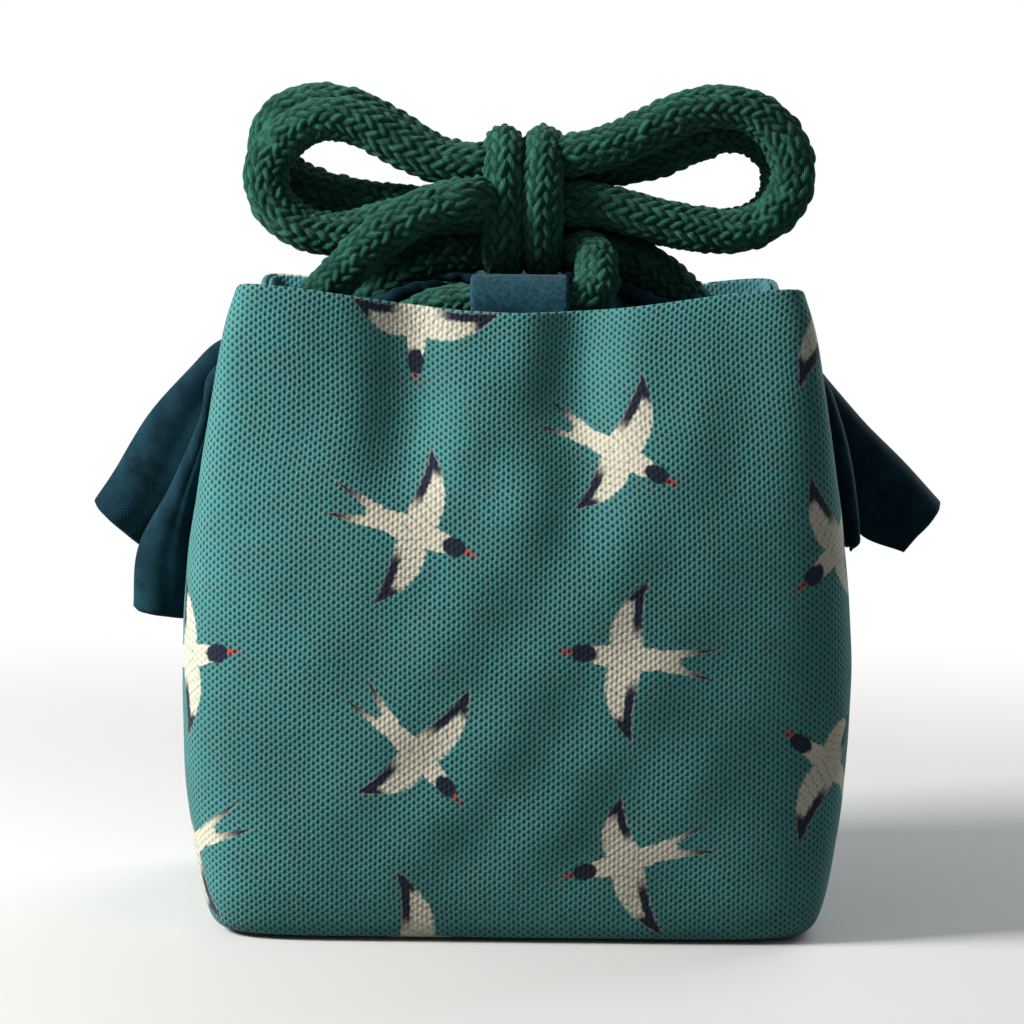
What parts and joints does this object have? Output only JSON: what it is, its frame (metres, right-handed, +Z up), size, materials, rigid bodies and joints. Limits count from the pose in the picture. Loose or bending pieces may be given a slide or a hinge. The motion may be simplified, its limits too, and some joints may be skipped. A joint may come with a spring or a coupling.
{
  "type": "teacup pouch",
  "caption": "Padded square cloth pouch for a teacup, drawn in at the mouth by a thick braided cord tied in a bow, with a lined collar, felt cord tabs and hanging side ears.",
  "frame": {"origin": "centre of the base on the floor, midway between the ear tips and between the front and back faces", "axes": "+Z up, the front face with the bow's knot faces -Y, +X to the viewer's right"},
  "size_m": [0.1477, 0.092, 0.1403],
  "materials": {
    "printed_canvas": "matt plain weave, printed",
    "wadding": "soft felted wadding",
    "board": "matt stiffener board",
    "lining_cloth": "matt plain weave",
    "collar_cloth": "matt cotton",
    "felt": "napped felt",
    "braided_cord": "braided cotton"
  },
  "bodies": {
    "pouch": {"outer_front": "printed_canvas", "outer_back": "printed_canvas", "outer_base": "printed_canvas", "facing_front": "printed_canvas", "facing_back": "printed_canvas", "wadding_front": "wadding", "wadding_back": "wadding", "wadding_base": "wadding", "base_board": "board", "lining_front": "lining_cloth", "lining_back": "lining_cloth", "lining_base": "lining_cloth", "collar_front": "collar_cloth", "collar_back": "collar_cloth", "collar_left": "collar_cloth", "collar_right": "collar_cloth", "collar_hem_front": "collar_cloth", "collar_hem_back": "collar_cloth", "front_tab": "felt", "back_tab": "felt", "front_cord_strand": "braided_cord", "back_cord_strand": "braided_cord"},
    "bow": {"bow_knot_wrap": "braided_cord", "bow_knot_core": "braided_cord"},
    "left_loop": {"left_loop_front_strand": "braided_cord", "left_loop_rear_strand": "braided_cord"},
    "right_loop": {"right_loop_front_strand": "braided_cord", "right_loop_rear_strand": "braided_cord"},
    "left_ear": {"left_ear_rear_leaf": "collar_cloth", "left_ear_front_leaf": "collar_cloth"},
    "right_ear": {"right_ear_rear_leaf": "collar_cloth", "right_ear_front_leaf": "collar_cloth"}
  },
  "joints": [
    {"name": "bow_tilt", "type": "hinge", "parent": "pouch", "child": "bow", "pos_m": [0, -0.009, 0.106], "axis": [1, 0, 0], "range_deg": [-20, 20], "deforming": ["front_cord_strand", "back_cord_strand"]},
    {"name": "left_loop_droop", "type": "hinge", "parent": "bow", "child": "left_loop", "pos_m": [-0.00775, -0.009, 0.1146], "axis": [0, -1, 0], "range_deg": [0, 16]},
    {"name": "right_loop_droop", "type": "hinge", "parent": "bow", "child": "right_loop", "pos_m": [0.00835, -0.009, 0.1146], "axis": [0, 1, 0], "range_deg": [0, 16]},
    {"name": "left_ear_swing", "type": "hinge", "parent": "pouch", "child": "left_ear", "pos_m": [-0.0456, 0, 0.096], "axis": [0, 1, 0], "range_deg": [0, 60]},
    {"name": "right_ear_swing", "type": "hinge", "parent": "pouch", "child": "right_ear", "pos_m": [0.0456, 0, 0.096], "axis": [0, -1, 0], "range_deg": [0, 60]}
  ]
}
